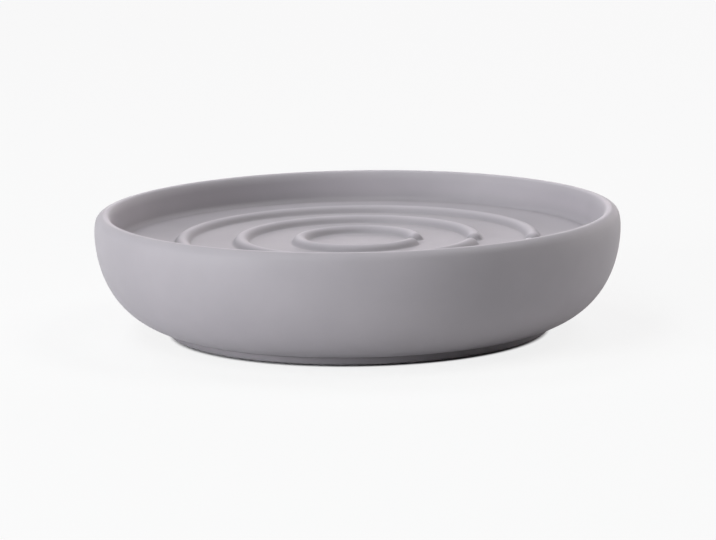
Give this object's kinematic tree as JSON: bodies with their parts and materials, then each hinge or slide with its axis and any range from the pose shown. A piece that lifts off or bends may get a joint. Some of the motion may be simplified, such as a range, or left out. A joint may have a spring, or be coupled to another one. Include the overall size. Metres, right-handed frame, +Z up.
{
  "type": "soap dish",
  "caption": "Round shallow soap dish with a rounded lip, concentric broken drain ribs on the tray floor, a full belly and a short foot ring",
  "frame": {"origin": "on the surface that the dish stands on, under the middle of the rim", "axes": "+Z is up, out of the tray. The drain channel through the ribs points along +X turned 9 degrees towards -Y"},
  "size_m": [0.12, 0.12, 0.028],
  "materials": {
    "stoneware": "matte soft-touch coat, mauve grey",
    "silicone": "matte, grey"
  },
  "bodies": {
    "root": {"dish_body": "stoneware", "casting_hole_stopper": "silicone", "non_slip_pad_1": "silicone", "non_slip_pad_2": "silicone", "non_slip_pad_3": "silicone", "non_slip_pad_4": "silicone"}
  },
  "joints": []
}
